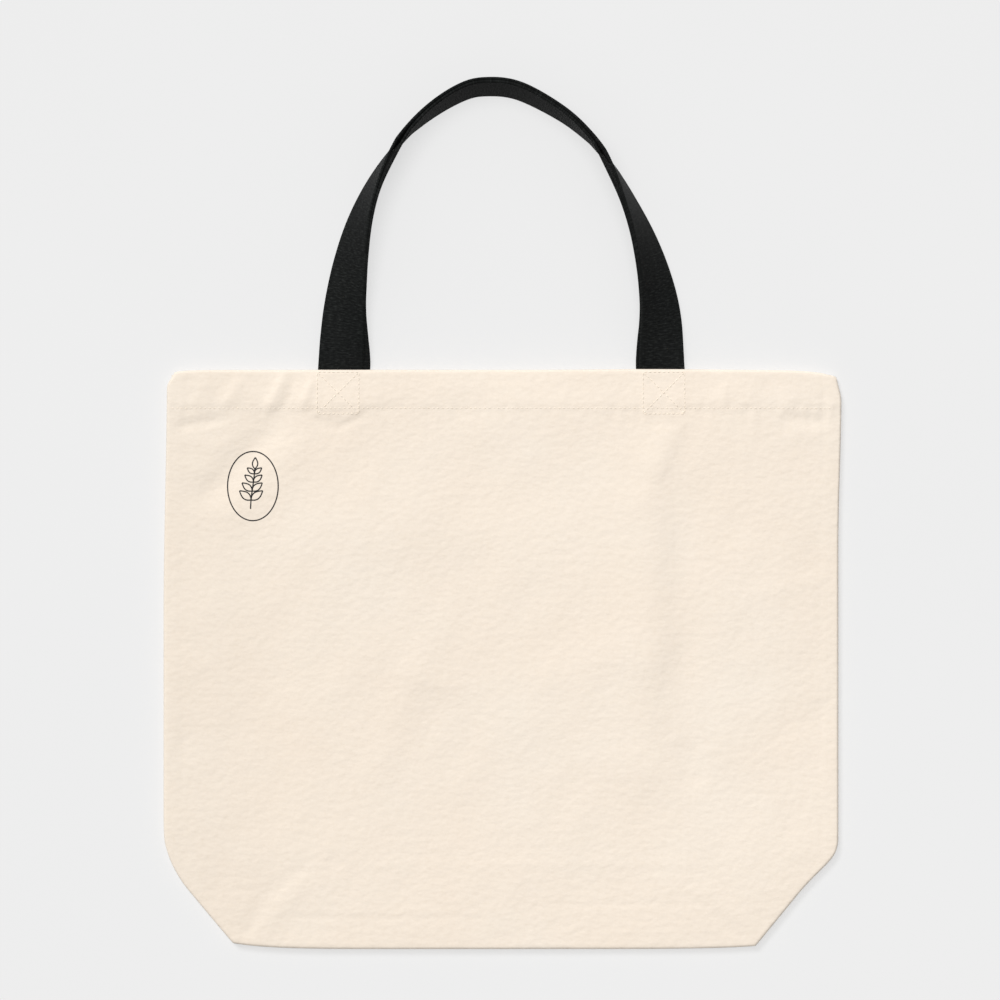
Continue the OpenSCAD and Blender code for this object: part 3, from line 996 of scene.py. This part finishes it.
front_hem_stitch = joined("front_hem_thread", [
    stitches("row", hem_row(5.0), front_height, 0.05),
    stitches("row", hem_row(9.0), front_inside, -0.05, ARCH_IN),
])
back_hem_stitch = joined("back_hem_thread", [stitches("row", hem_row(9.0), back_inside, 0.05)])
box_stitches = {}
for side, word in ((-1, "left"), (1, "right")):
    box_stitches["front_" + word] = joined("front_" + word + "_box_thread", [
        stitches("row", box_routes(side * FRONT_STRAP_X), front_height, 0.04),
        stitches("row", box_routes(side * FRONT_STRAP_X), level(front_z), 0.0, ARCH_IN),
    ])
    box_stitches["back_" + word] = joined("back_" + word + "_box_thread", [
        stitches("row", box_routes(side * BACK_STRAP_X), level(BACK_STRAP_Z + WEBBING_T), 0.0)])


# -------- printed sprig
MARK_LOW, MARK_HIGH = node_box("printed_mark")
INK_LINE = 0.9
INK_LIFT = 0.10
INK_T = 0.2


def ink_line(points):
    """A flat printed line on the front panel along the given points."""
    points = np.array(points, float)
    way = unit(np.gradient(points, axis=0))
    side = np.stack([-way[:, 1], way[:, 0]], -1) * INK_LINE / 2
    high = []
    for offset in (-1, -0.5, 0, 0.5, 1):
        p = points + side * offset
        high.append(surface_point(front_height, p[:, 0], p[:, 1], INK_LIFT))
    high = np.stack(high[::-1], 0)
    low = high - np.array([0, 0, INK_T])
    return sheet_between(low, high)


def printed_mark():
    """A sprig with paired leaves inside an oval line, all in thin printed strokes."""
    centre = (MARK_LOW[:2] + MARK_HIGH[:2]) / 2
    half_w, half_h = (MARK_HIGH[:2] - MARK_LOW[:2]) / 2 - INK_LINE / 2
    lines = []
    t = np.linspace(0, 2 * math.pi, 160)
    lines.append(np.stack([half_w * np.cos(t), half_h * np.sin(t)], -1))
    stem = np.linspace(-0.66, 0.50, 40)[:, None] * half_h
    bow = 1.6 * np.sin(stem / half_h * 2.2)
    lines.append(np.concatenate([bow, stem], -1))

    def leaf(base, angle, length):
        s = np.linspace(0, 1, 24)
        out = []
        for bulge in (1, -1):
            along = s * length
            aside = bulge * 0.24 * length * np.sin(math.pi * s ** 0.85)
            x = base[0] + along * math.cos(angle) - aside * math.sin(angle)
            y = base[1] + along * math.sin(angle) + aside * math.cos(angle)
            out.append(np.stack([x, y], -1))
        return out

    for i, at in enumerate((-0.40, -0.14, 0.12, 0.36)):
        base = (1.6 * math.sin(at * 2.2), at * half_h)
        size = 10.5 - 1.3 * i
        lines += leaf(base, math.radians(38), size)
        lines += leaf(base, math.radians(142), size)
    lines += leaf((1.6 * math.sin(0.5 * 2.2), 0.5 * half_h), math.radians(88), 8.0)
    verts, faces, first = [], [], 0
    for line in lines:
        v, f = ink_line(line + centre)
        verts.append(v)
        faces += [part + first for part in f]
        first += len(v)
    return make_object("printed_sprig", np.concatenate(verts), faces, INK)


mark = printed_mark()

# -------- bodies and stand-ins
on_bag = {
    front_panel: ("canvas", ["front_panel"]),
    back_panel: ("canvas", ["back_panel"]),
    base_panel: ("canvas", ["base_panel"]),
    front_hem: ("canvas", ["front_hem"]),
    back_hem: ("canvas", ["back_hem"]),
    side_seams[0]: ("canvas", ["left_side_seam"]),
    side_seams[1]: ("canvas", ["right_side_seam"]),
    corner_seams[0]: ("canvas", ["left_corner_seam"]),
    corner_seams[1]: ("canvas", ["right_corner_seam"]),
    base_seams[0]: ("canvas", ["front_base_seam"]),
    base_seams[1]: ("canvas", ["back_base_seam"]),
    front_hem_stitch: ("thread", ["front_hem_stitch"]),
    back_hem_stitch: ("thread", ["back_hem_stitch"]),
    mark: ("ink", ["printed_mark"]),
}
for word, piece in box_stitches.items():
    on_bag[piece] = ("thread", [word + "_box_stitch"])
for piece, (slot, nodes) in on_bag.items():
    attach(piece, "bag")
    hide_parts(*nodes)

# The webbing is one strap, sewn inside the hem and running round the mouth edge into the loop.
for piece, body, z in (
    (front_handle, "front_handle", FRONT_STRAP_Z), (back_handle, "back_handle", BACK_STRAP_Z)):
    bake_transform(piece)
    word = body.split("_")[0]
    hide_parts(body, word + "_left_strap_end", word + "_right_strap_end")

# -------- floor, light and camera
def floor():
    """A plain pale surface under the bag."""
    material, shader = new_material("floor")
    n = Nodes(material)
    where = n.add("TexCoord").outputs["Object"]
    tone = n.ramp(n.noise(where, 3.0, 2.0), [
        (0.3, (0.336, 0.336, 0.336)), (0.7, (0.344, 0.344, 0.344))])
    n.link(tone, shader.inputs["Base Color"])
    # a lit backdrop: half of its brightness is its own, which keeps shadows on it faint
    shader.inputs["Emission Color"].default_value = (1.0, 1.0, 1.0, 1)
    shader.inputs["Emission Strength"].default_value = 0.480
    shader.inputs["Roughness"].default_value = 0.9
    shader.inputs["Specular IOR Level"].default_value = 0.1
    mesh = bpy.data.meshes.new("floor")
    reach = 4.0
    corners = [(-reach, -reach, 0), (reach, -reach, 0), (reach, reach, 0), (-reach, reach, 0)]
    mesh.from_pydata(corners, [], [(0, 1, 2, 3)])
    obj = bpy.data.objects.new("floor", mesh)
    bpy.context.scene.collection.objects.link(obj)
    mesh.materials.append(material)


def lights():
    """Soft studio light from above and from the upper left."""
    world = bpy.data.worlds.new("studio")
    bpy.context.scene.world = world
    world.use_nodes = True
    background = world.node_tree.nodes["Background"]
    background.inputs["Color"].default_value = (1.0, 1.0, 1.0, 1)
    background.inputs["Strength"].default_value = 0.20
    others = bpy.data.collections.new("all_but_the_handles")
    for piece in on_bag:
        others.objects.link(piece)
    key = sun_light("key", (0.55, -0.76, -1.0), 1.42, 20)
    # the handles' long shadows of the low light are kept off the pale backdrop
    key.light_linking.blocker_collection = others
    sun_light("top", (0.12, -0.18, -1.0), 1.28, 38)
    # a low light without shadows brings out the creases in the cloth
    relief = sun_light("relief", (0.50, -1.35, -1.0), 0.90, 10)
    relief.data.use_shadow = False


def sun_light(name, way, energy, softness):
    """A sun that shines along way, with its apparent size in degrees."""
    sun = bpy.data.lights.new(name, "SUN")
    sun.energy = energy
    sun.angle = math.radians(softness)
    obj = bpy.data.objects.new(name, sun)
    bpy.context.scene.collection.objects.link(obj)
    obj.rotation_mode = "QUATERNION"
    obj.rotation_quaternion = Vector(way).to_track_quat("-Z", "Y")
    return obj


def camera():
    """Straight above the bag with a long lens, framed as the photograph is."""
    frame_width = 0.7111
    lens, sensor = 135.0, 36.0
    distance = frame_width * lens / sensor
    data = bpy.data.cameras.new("camera")
    data.lens = lens
    data.sensor_width = sensor
    data.clip_end = 50.0
    obj = bpy.data.objects.new("camera", data)
    bpy.context.scene.collection.objects.link(obj)
    middle_x, middle_y, top_z = -0.0007, 0.1131, 0.005
    obj.location = (middle_x, middle_y, distance + top_z)
    bpy.context.scene.camera = obj


floor()
lights()
camera()
bpy.context.scene.view_settings.view_transform = "Standard"
bpy.context.scene.view_settings.look = "None"
